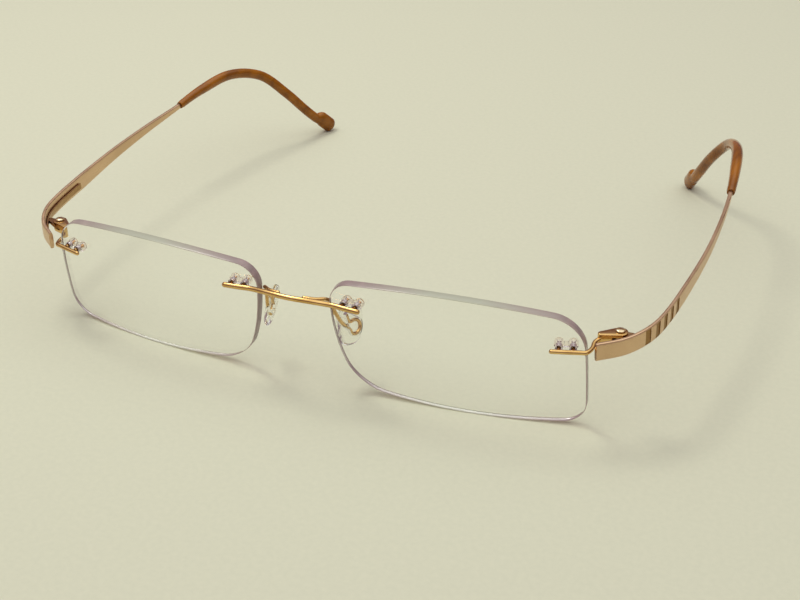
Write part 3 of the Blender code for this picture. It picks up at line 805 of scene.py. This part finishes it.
def make_mount(side, sign, place, site, bar_radius):
    cup_start = LENS_THICKNESS + JOINT_GAP
    cup_end = cup_start + BUSHING_CUP_LENGTH
    cup = cup_profile(cup_start, cup_end)
    bushing = make_piece(
        f"twin_bushing_{side}_{place}", standing(cup, site, -PIN_SPACING / 2), sign, bushing_plastic
    )
    web = bmesh.new()
    bmesh.ops.create_cube(web, size=1.0)
    bmesh.ops.scale(web, vec=BUSHING_WEB_SIZE, verts=web.verts)
    bmesh.ops.translate(web, vec=(0.0, 0.0, cup_start + 0.1 + BUSHING_WEB_SIZE[2] / 2), verts=web.verts)
    bmesh.ops.transform(web, matrix=site_matrix(site), verts=web.verts)
    combine(bushing, "UNION", web, sign, bushing_plastic)
    combine(bushing, "UNION", standing(cup, site, PIN_SPACING / 2), sign, bushing_plastic)
    leg = [(BUSHING_LEG_RADIUS, BUSHING_LEG_START), (BUSHING_LEG_RADIUS, cup_start + 0.3)]
    bore = [(PIN_BORE_RADIUS, -1.0), (PIN_BORE_RADIUS, cup_end + 1.0)]
    pin_start, pin_end = bar_radius - BAR_STANDOFF + JOINT_GAP, cup_end - 0.2
    pin = [
        (PIN_RADIUS, pin_start),
        (PIN_RADIUS, pin_end - 0.12),
        (0.8 * PIN_RADIUS, pin_end - 0.03),
        (0.45 * PIN_RADIUS, pin_end),
    ]
    for order, offset in (("inner", -PIN_SPACING / 2), ("outer", PIN_SPACING / 2)):
        combine(bushing, "UNION", standing(leg, site, offset), sign, bushing_plastic)
        combine(bushing, "DIFFERENCE", standing(bore, site, offset), sign, bushing_plastic)
        made = make_piece(f"pin_{side}_{place}_{order}", standing(pin, site, offset), sign, gold)
        finish_piece(made, "front", f"lens_pin_{side}_{place}_{order}")
    finish_piece(bushing, "front", f"bushing_{side}_{place}")


for side, sign in SIDES:
    make_mount(side, sign, "nasal", NASAL_SITE, BAR_RADIUS)
    make_mount(side, sign, "temporal", TEMPORAL_SITE, CLIP_WIRE_RADIUS)

# %% [markdown]
# ## Pad arms and nose pads
# Each pad hangs on a thin wire that leaves the back of the bridge, drops behind it and ends in a
# single loop. The soft clear pad is moulded with a pocket that the loop lies in, so it can rock a
# little on the nose. The loop is one line of maths: a circle walked round in small angles, drawn
# on two directions of its own, back and up.

# %% Pad arms
ARM_RADIUS = 0.38
ARM_ROUTE = (
    (2.8, -1.5, 21.15),
    (5.0, -1.05, 21.05),
    (6.8, 0.35, 20.7),
    (7.4, 1.65, 19.4),
    (7.9, 2.8, 17.0),
    (8.6, 4.1, 14.2),
)
LOOP_CENTRE = Vector((9.9, 7.3, 11.8))
LOOP_RADIUS = 1.45
LOOP_SWEEP = 275.0
LOOP_STEPS = 60
# The wire's end turns up from the top of the loop: (back, up) from the loop's centre.
LOOP_END = ((-0.75, 1.42), (-1.2, 1.65), (-1.4, 2.2), (-1.5, 3.0))
LOOP_UP = Vector((-0.235, 0.085, 0.968)).normalized()
LOOP_BACK = Vector((0.339, 0.941, 0.0)).normalized()


def in_loop(back, up):
    return LOOP_CENTRE + back * LOOP_BACK + up * LOOP_UP


def loop_path():
    points = []
    for k in range(LOOP_STEPS + 1):
        angle = math.radians(LOOP_SWEEP * k / LOOP_STEPS - 180.0)
        points.append(in_loop(LOOP_RADIUS * math.cos(angle), LOOP_RADIUS * math.sin(angle)))
    return points + [in_loop(back, up) for back, up in LOOP_END]


def make_pad_arm(side, sign):
    loop = loop_path()
    lead = smooth_path(ARM_ROUTE + tuple(tuple(p) for p in loop[:8:7]), 0.35)
    turn = smooth_path(loop[7:], 0.35)
    path = lead[:-1] + turn
    bm = sweep(path, [(ARM_RADIUS, ARM_RADIUS)] * len(path), sides=20, domed=True)
    arm = make_piece(f"looped_arm_{side}", bm, sign, gold)
    finish_piece(arm, "front", f"pad_arm_{side}")


for side, sign in SIDES:
    make_pad_arm(side, sign)

# %% [markdown]
# A pad starts as a ball whose points are pushed out towards a soft box, then squashed thin. The
# pocket is cut with a drop-shaped plate, and a swept groove lets the arm in at the front.

# %% Nose pads
PAD_TILT = math.radians(15.0)
PAD_HALF_LENGTH = 4.4
PAD_HALF_WIDTH = 3.4
PAD_HALF_THICKNESS = 1.15
PAD_RISE = 0.75
PAD_FORWARD = 1.1
PAD_TOWARDS_NOSE = 0.35
PAD_FULLNESS = 2.4
PAD_POCKET_RADIUS = 1.95
PAD_POCKET_FLOOR = 0.44
PAD_POCKET_TOP = 3.0
PAD_TAIL_PLACE = (3.1, -1.5)
PAD_TAIL_RADIUS = 0.6


def make_nose_pad(side, sign):
    outward = LOOP_BACK.cross(LOOP_UP)
    up = LOOP_UP * math.cos(PAD_TILT) + LOOP_BACK * math.sin(PAD_TILT)
    back = up.cross(outward)
    centre = LOOP_CENTRE + PAD_RISE * up - PAD_FORWARD * back - PAD_TOWARDS_NOSE * outward
    axes = Matrix((outward, back, up)).transposed().to_4x4()
    bm = bmesh.new()
    bmesh.ops.create_uvsphere(bm, u_segments=48, v_segments=32, radius=1.0)
    halves = (PAD_HALF_THICKNESS, PAD_HALF_WIDTH, PAD_HALF_LENGTH)
    for vert in bm.verts:
        fullness = 1.0 / sum(abs(c) ** PAD_FULLNESS for c in vert.co) ** (1 / PAD_FULLNESS)
        vert.co = Vector(c * fullness * half for c, half in zip(vert.co, halves))
    bmesh.ops.transform(bm, matrix=Matrix.Translation(centre) @ axes, verts=bm.verts)
    pad = make_piece(f"silicone_pad_{side}", bm, sign, silicone)
    outline = teardrop((0.0, 0.0), PAD_POCKET_RADIUS, PAD_TAIL_PLACE, PAD_TAIL_RADIUS)
    pocket = plate(outline, -PAD_POCKET_FLOOR, PAD_POCKET_TOP)
    flat = Matrix((LOOP_UP, LOOP_BACK, outward)).transposed().to_4x4()
    bmesh.ops.transform(pocket, matrix=Matrix.Translation(LOOP_CENTRE) @ flat, verts=pocket.verts)
    combine(pad, "DIFFERENCE", pocket, sign, silicone)
    entry = smooth_path(ARM_ROUTE[-3:] + (tuple(loop_path()[0]),), 0.6)
    sizes = [(PAD_POCKET_FLOOR + JOINT_GAP, PAD_POCKET_FLOOR + JOINT_GAP)] * len(entry)
    combine(pad, "DIFFERENCE", sweep(entry, sizes, sides=20), sign, silicone)
    finish_piece(pad, "front", f"nose_pad_{side}")


for side, sign in SIDES:
    make_nose_pad(side, sign)

# %% [markdown]
# ## Hinge screws
# The screw is a turned piece: a plain shank and a shallow domed head with a sawn slot. The
# profile is drawn as (radius, height) and spun, then the slot is cut across the head.

# %% Screws
SCREW_RADIUS = 0.5
SCREW_HEAD_RADIUS = 0.95
SCREW_HEAD_HEIGHT = 0.45
SCREW_SLOT_WIDTH = 0.3
SCREW_SLOT_DEPTH = 0.25


def make_screw(side, sign):
    top = FORK_HALF_HEIGHT + JOINT_GAP
    bottom = 0.1 - FORK_HALF_HEIGHT
    rim_top = top + 0.5 * SCREW_HEAD_HEIGHT
    profile = [(SCREW_RADIUS - 0.08, bottom), (SCREW_RADIUS, bottom + 0.08), (SCREW_RADIUS, top)]
    profile += [(SCREW_HEAD_RADIUS - 0.05, top), (SCREW_HEAD_RADIUS, top + 0.05)]
    profile.append((SCREW_HEAD_RADIUS, rim_top))
    for turn in (25.0, 50.0, 75.0):
        angle = math.radians(turn)
        radius = SCREW_HEAD_RADIUS * (0.25 + 0.75 * math.cos(angle))
        profile.append((radius, rim_top + 0.5 * SCREW_HEAD_HEIGHT * math.sin(angle)))
    bm = turned(profile, 48)
    place = Matrix.Translation((*HINGE_AXIS, HINGE_HEIGHT))
    bmesh.ops.transform(bm, matrix=place, verts=bm.verts)
    screw = make_piece(f"slotted_screw_{side}", bm, sign, screw_finish)
    slot = bmesh.new()
    bmesh.ops.create_cube(slot, size=1.0)
    size = (3 * SCREW_HEAD_RADIUS, SCREW_SLOT_WIDTH, 2 * SCREW_SLOT_DEPTH)
    bmesh.ops.scale(slot, vec=size, verts=slot.verts)
    bmesh.ops.translate(slot, vec=(0.0, 0.0, top + SCREW_HEAD_HEIGHT), verts=slot.verts)
    bmesh.ops.transform(slot, matrix=place, verts=slot.verts)
    combine(screw, "DIFFERENCE", slot, sign, screw_finish)
    finish_piece(screw, "front", f"hinge_screw_{side}")


for side, sign in SIDES:
    make_screw(side, sign)

# %% [markdown]
# ## Temples
# A temple is a flat gold strip set on edge. It starts square beside the hinge, bends back round
# the side of the head, narrows, and goes on as a thin wire inside the tip. Five bars are engraved
# across its outer face and filled with bronze lacquer. The section is a rounded rectangle: the
# sweep's squareness sets how sharp its corners are.

# %% Temple strips
TEMPLE_ROUTE = (
    (60.7, 3.7, 19.1),
    (65.3, 7.6, 19.3),
    (68.4, 12.8, 19.6),
    (70.0, 19.5, 19.8),
    (71.1, 31.0, 20.2),
    (71.9, 46.0, 21.0),
    (71.8, 60.0, 21.8),
    (71.1, 72.5, 22.6),
    (69.9, 84.0, 23.9),
    (67.9, 96.0, 24.2),
    (64.2, 106.0, 21.0),
    (59.6, 111.6, 14.6),
    (55.9, 116.9, 7.7),
    (52.2, 124.0, 0.17),
)
STRIP_SQUARENESS = 4.5
STRIP_HALF_THICKNESS = 0.45
STRIP_HALF_TALL = 1.85
STRIP_TAPER_START = 30.0
STRIP_END = 74.0
STRIP_END_HALF_TALL = 0.6
CORE_RADIUS = 0.38
CORE_STEP = 0.3
CORE_STOP_SHORT = 8.5
STRIPE_COUNT = 5
STRIPE_START = 11.5
STRIPE_SPACING = 3.25
STRIPE_SIZE = (1.6, 0.5, 3.2)
STRIPE_DEPTH = 0.15
ROUTE_STEP = 1.0

route = smooth_path(TEMPLE_ROUTE, ROUTE_STEP)
route_length = running_lengths(route)[-1]
print("length along a temple in mm:", round(route_length, 1))


def strip_half_tall(distance):
    share = (distance - STRIP_TAPER_START) / (STRIP_END - STRIP_TAPER_START)
    share = min(max(share, 0.0), 1.0)
    return STRIP_HALF_TALL + (STRIP_END_HALF_TALL - STRIP_HALF_TALL) * share


def make_temple(side, sign):
    strip = stretch(route, 0.0, STRIP_END)
    core = stretch(route, STRIP_END + CORE_STEP, route_length - CORE_STOP_SHORT)
    sizes = [(STRIP_HALF_THICKNESS, strip_half_tall(s)) for s in running_lengths(strip)]
    sizes += [(CORE_RADIUS, CORE_RADIUS)] * len(core)
    bm = sweep(strip + core, sizes, sides=36, squareness=STRIP_SQUARENESS, upright=True)
    temple = make_piece(f"gold_strip_{side}", bm, sign, satin, lacquer)
    frames = frames_along(strip, True)
    lengths = running_lengths(strip)
    for k in range(STRIPE_COUNT):
        distance = STRIPE_START + k * STRIPE_SPACING
        nearest = min(range(len(strip)), key=lambda i: abs(lengths[i] - distance))
        across, up = frames[nearest][1], frames[nearest][2]
        place = point_at(strip, lengths, distance)
        place = place + across * (STRIP_HALF_THICKNESS + STRIPE_SIZE[1] / 2 - STRIPE_DEPTH)
        axes = Matrix((up.cross(across), across, up)).transposed().to_4x4()
        groove = bmesh.new()
        bmesh.ops.create_cube(groove, size=1.0)
        bmesh.ops.scale(groove, vec=STRIPE_SIZE, verts=groove.verts)
        bmesh.ops.transform(groove, matrix=Matrix.Translation(place) @ axes, verts=groove.verts)
        combine(temple, "DIFFERENCE", groove, sign, lacquer)
    finish_piece(temple, f"temple_{side}_arm", f"temple_{side}")


for side, sign in SIDES:
    make_temple(side, sign)

# %% [markdown]
# The moving half of the hinge is a flat tongue that lies between the fork's two ears, and its
# long tail is soldered to the inside of the strip. It turns with the temple, so it rides on the
# same body as the strip.

# %% Hinge tongues
TONGUE_HALF_HEIGHT = 0.38
TAIL_START = 7.0
TAIL_END = 28.0
TAIL_HALF_THICKNESS = 0.22
TAIL_HALF_TALL = 0.7
TAIL_DROP = 0.2


def make_temple_hinge(side, sign):
    inset = STRIP_HALF_THICKNESS + TAIL_HALF_THICKNESS + JOINT_GAP
    inner = frames_along(stretch(route, TAIL_START, TAIL_END), True)
    tail = [point - inset * across - TAIL_DROP * up for point, across, up in inner]
    sizes = [(TAIL_HALF_THICKNESS, TAIL_HALF_TALL)] * len(tail)
    bm = sweep(tail, sizes, squareness=STRIP_SQUARENESS, upright=True)
    # bronze is gold darkened as painted shade, because the tongue sits in shadow behind the strip.
    tongue = make_piece(f"hinge_tongue_{side}", bm, sign, bronze)
    root = point_at(tail, running_lengths(tail), 3.6)
    outline = teardrop(HINGE_AXIS, KNUCKLE_RADIUS, (root.x - 0.35, root.y), 0.5)
    low, high = HINGE_HEIGHT - TONGUE_HALF_HEIGHT, HINGE_HEIGHT + TONGUE_HALF_HEIGHT
    combine(tongue, "UNION", plate(outline, low, high), sign, bronze)
    combine(tongue, "DIFFERENCE", disc(SCREW_BORE_RADIUS, -2.0, 2.0), sign, bronze)
    finish_piece(tongue, f"temple_{side}_arm", f"temple_hinge_{side}")


for side, sign in SIDES:
    make_temple_hinge(side, sign)

# %% [markdown]
# ## Tips
# A tip is a round rod that thickens slowly, then grows into a small paddle near its end. Both
# changes use the same easing curve, which starts and stops gently. The paddle grows on the outer
# side only, so its middle line is lifted by exactly the height it gained and the side that lies
# against the head stays straight. A bore for the temple wire runs up the middle.

# %% Tips
CORE_BORE_RADIUS = 0.55
TIP_START = 74.4
TIP_START_RADIUS = 1.0
TIP_RADIUS = 1.3
TIP_SWELL = 15.0
PADDLE_LENGTH = 7.6
PADDLE_EASE = 2.6
PADDLE_HALF_WIDE = 1.5
PADDLE_HALF_TALL = 2.05
PADDLE_CAP = 1.7
TIP_END_STEP = 0.25


def eased(share):
    share = min(max(share, 0.0), 1.0)
    return share * share * (3 - 2 * share)


def tip_section(distance):
    """Half width, half height and lift. The last part grows into a paddle, on the outer side."""
    left = route_length - distance
    swell = eased((distance - TIP_START) / TIP_SWELL)
    round_size = TIP_START_RADIUS + (TIP_RADIUS - TIP_START_RADIUS) * swell
    growth = eased((PADDLE_LENGTH - left) / PADDLE_EASE)
    wide = round_size + (PADDLE_HALF_WIDE - round_size) * growth
    tall = round_size + (PADDLE_HALF_TALL - round_size) * growth
    lift = tall - round_size
    cap = math.sqrt(max(0.03, 1 - max(0.0, 1 - left / PADDLE_CAP) ** 2))
    return wide * cap, tall * cap, lift


def make_tip(side, sign):
    path = stretch(route, TIP_START, route_length - PADDLE_LENGTH)
    paddle = smooth_path(TEMPLE_ROUTE, TIP_END_STEP)
    path += stretch(paddle, route_length - PADDLE_LENGTH + TIP_END_STEP, route_length - 0.02)
    sections = [tip_section(TIP_START + s) for s in running_lengths(path)]
    frames = frames_along(path, True)
    path = [point + lift * up for (point, across, up), (wide, tall, lift) in zip(frames, sections)]
    sizes = [(wide, tall) for wide, tall, lift in sections]
    sizes[0] = (TIP_START_RADIUS - 0.12, TIP_START_RADIUS - 0.12)
    tip = make_piece(f"amber_tip_{side}", sweep(path, sizes, sides=36, upright=True), sign, amber)
    bore = stretch(route, STRIP_END - 1.5, route_length - CORE_STOP_SHORT + 0.4)
    sleeve = sweep(bore, [(CORE_BORE_RADIUS, CORE_BORE_RADIUS)] * len(bore), sides=24, upright=True)
    combine(tip, "DIFFERENCE", sleeve, sign, amber)
    finish_piece(tip, f"temple_{side}_arm", f"temple_tip_{side}")


for side, sign in SIDES:
    make_tip(side, sign)

# %% [markdown]
# ## Table and light
# The glasses stand on a pale matt table. Clear and polished things show nothing of their own, so
# the room matters: bright overhead, and dim and a little mauve near the horizon. The dim part is
# what gives gold its dark streaks and a lens rim its grey line. One lamp up on the left adds soft
# shadows to the right.

# %% Table
TABLE_HALF_SIZE = 4.0


def make_table():
    bm = bmesh.new()
    bmesh.ops.create_grid(bm, x_segments=8, y_segments=8, size=TABLE_HALF_SIZE)
    mesh = bpy.data.meshes.new("table_top")
    bm.to_mesh(mesh)
    bm.free()
    table = bpy.data.objects.new("table_top", mesh)
    scene.collection.objects.link(table)
    finish, tree, shader = new_finish("pale matt table")
    fleck = noise(tree, 900.0, detail=6.0)
    tree.links.new(
        ramp(tree, fleck, (0.3, (0.608, 0.619, 0.468)), (0.7, (0.639, 0.647, 0.492))),
        shader.inputs["Base Color"],
    )
    tree.links.new(spread(tree, fleck, 0.75, 0.9), shader.inputs["Roughness"])
    mesh.materials.append(finish)
    table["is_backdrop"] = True


make_table()

# %% Room light and lamp
ROOM_DIM = (0.24, 0.16, 0.19)
ROOM_BRIGHT = (1.35, 1.35, 1.34)
BACKDROP = (0.66, 0.655, 0.52)


def make_room():
    world = bpy.data.worlds.new("soft room")
    scene.world = world
    world.use_nodes = True
    tree = world.node_tree
    background = tree.nodes["Background"]
    coordinates = tree.nodes.new("ShaderNodeTexCoord")
    height = tree.nodes.new("ShaderNodeSeparateXYZ")
    tree.links.new(coordinates.outputs["Generated"], height.inputs["Vector"])
    sky = ramp(tree, height.outputs["Z"], (0.48, ROOM_DIM), (0.82, ROOM_BRIGHT))
    seen = tree.nodes.new("ShaderNodeMix")
    seen.data_type = "RGBA"
    light_path = tree.nodes.new("ShaderNodeLightPath")
    tree.links.new(light_path.outputs["Is Camera Ray"], seen.inputs["Factor"])
    tree.links.new(sky, seen.inputs["A"])
    seen.inputs["B"].default_value = (*BACKDROP, 1.0)
    tree.links.new(seen.outputs["Result"], background.inputs["Color"])


def add_lamp(name, place, size, watts, colour):
    lamp = bpy.data.lights.new(name, "AREA")
    lamp.shape = "DISK"
    lamp.size = size
    lamp.energy = watts
    lamp.color = colour
    obj = bpy.data.objects.new(name, lamp)
    obj.location = place
    obj.rotation_euler = (-Vector(place)).to_track_quat("-Z", "Y").to_euler()
    scene.collection.objects.link(obj)


make_room()
add_lamp("key_lamp", (-0.21, 0.05, 0.47), 0.15, 0.62, (1.0, 0.97, 0.88))
scene.view_settings.view_transform = "Standard"

# %% [markdown]
# ## Camera
# The camera looks down on the glasses from in front and from the wearer's left, close enough for
# the near lens to look larger than the far one. It is turned as one would turn a real camera:
# round to the side, tipped down, and then rolled by less than a degree.

# %% Camera
CAMERA_LENS_MM = 62.8
CAMERA_PLACE = (115.5, -213.4, 155.2)
CAMERA_TURN, CAMERA_TIP, CAMERA_ROLL = 23.48, 29.40, -0.63


def make_camera():
    camera = bpy.data.cameras.new("camera")
    camera.lens = CAMERA_LENS_MM
    camera.sensor_width = 36.0
    camera.clip_start = 0.01
    obj = bpy.data.objects.new("camera", camera)
    turn = Matrix.Rotation(math.radians(CAMERA_TURN), 4, "Z")
    tip = Matrix.Rotation(math.radians(90.0 - CAMERA_TIP), 4, "X")
    roll = Matrix.Rotation(math.radians(CAMERA_ROLL), 4, "Z")
    place = MM * Vector(CAMERA_PLACE) + DRAWING_SHIFT
    obj.matrix_world = Matrix.Translation(place) @ turn @ tip @ roll
    scene.collection.objects.link(obj)
    scene.camera = obj


make_camera()

# %% [markdown]
# The finer pieces must fill the same box as the imported solids. Both boxes are measured here,
# and the last line prints the difference in size for the whole pair at once; each piece printed
# its own overshoot past its CAD box when it was made.

# %% Sizes and finish
ours_low, ours_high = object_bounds()
extra = (ours_high - ours_low) - (cad_high - cad_low)
print("bigger than the CAD by, in mm:", [round(1000 * d, 2) for d in extra])
